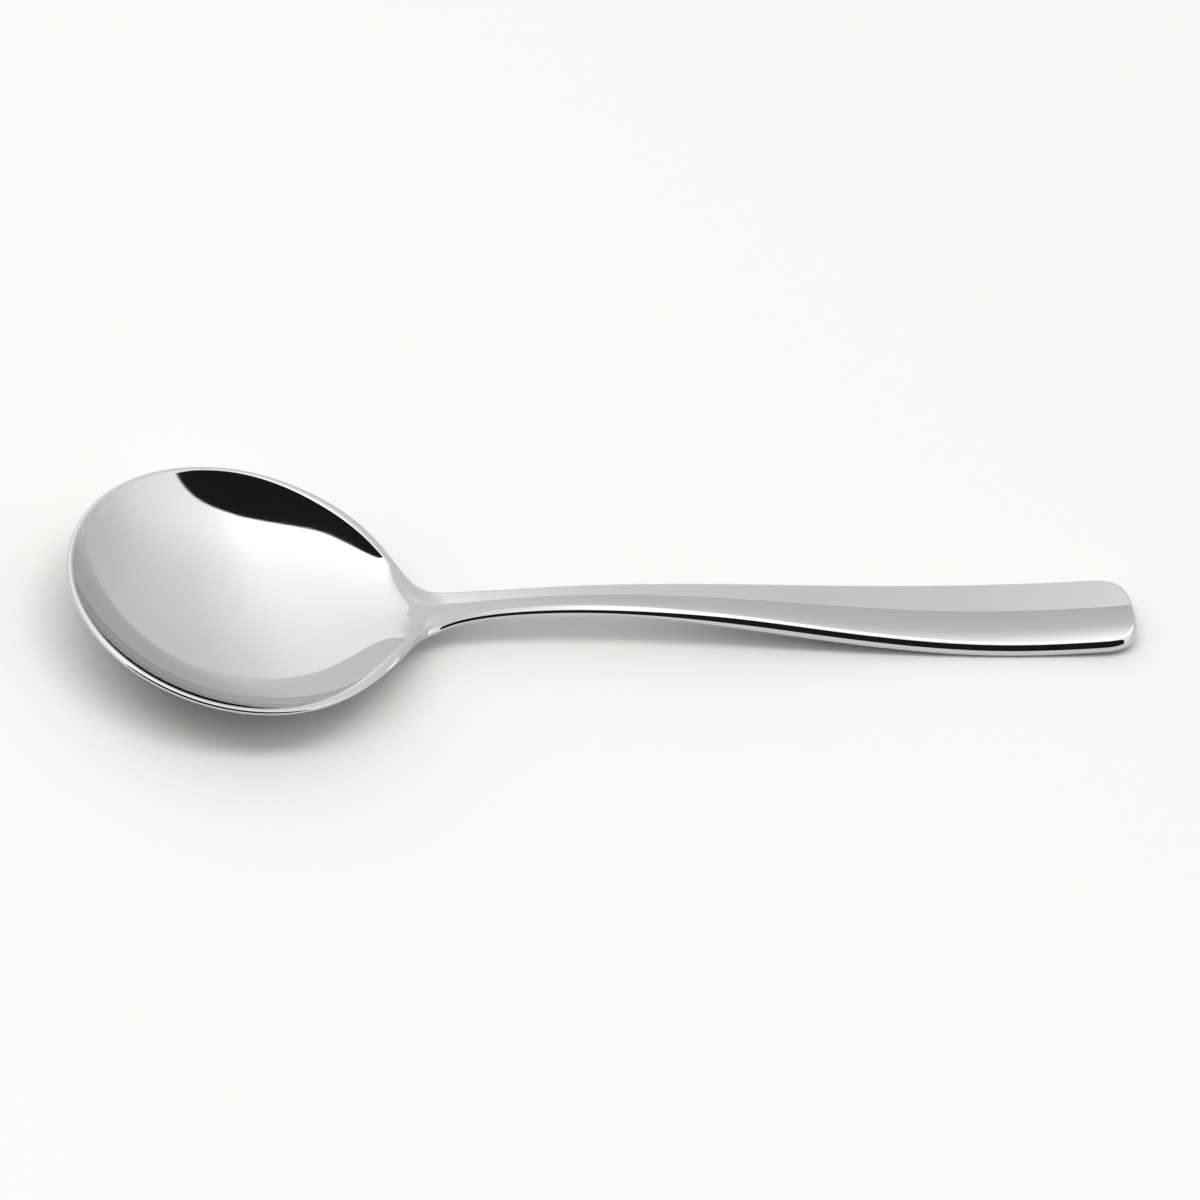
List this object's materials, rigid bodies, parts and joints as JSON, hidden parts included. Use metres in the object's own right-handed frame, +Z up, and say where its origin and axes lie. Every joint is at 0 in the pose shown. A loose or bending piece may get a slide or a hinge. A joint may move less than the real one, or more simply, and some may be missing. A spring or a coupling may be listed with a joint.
{
  "type": "soup spoon",
  "caption": "Round-bowled soup spoon of polished stainless steel, with a slim arched handle that widens to a squared, rounded end.",
  "frame": {"origin": "on the table, under the middle of the spoon's overall length and width, as it lies ready for use", "axes": "+X from the tip of the bowl to the end of the handle, +Z up, square to the table, +Y across"},
  "size_m": [0.178, 0.048, 0.0132],
  "materials": {
    "polished_steel": "mirror-polished stainless steel with fine polishing and wiping marks"
  },
  "bodies": {
    "root": {"bowl": "polished_steel", "handle": "polished_steel"}
  },
  "joints": []
}
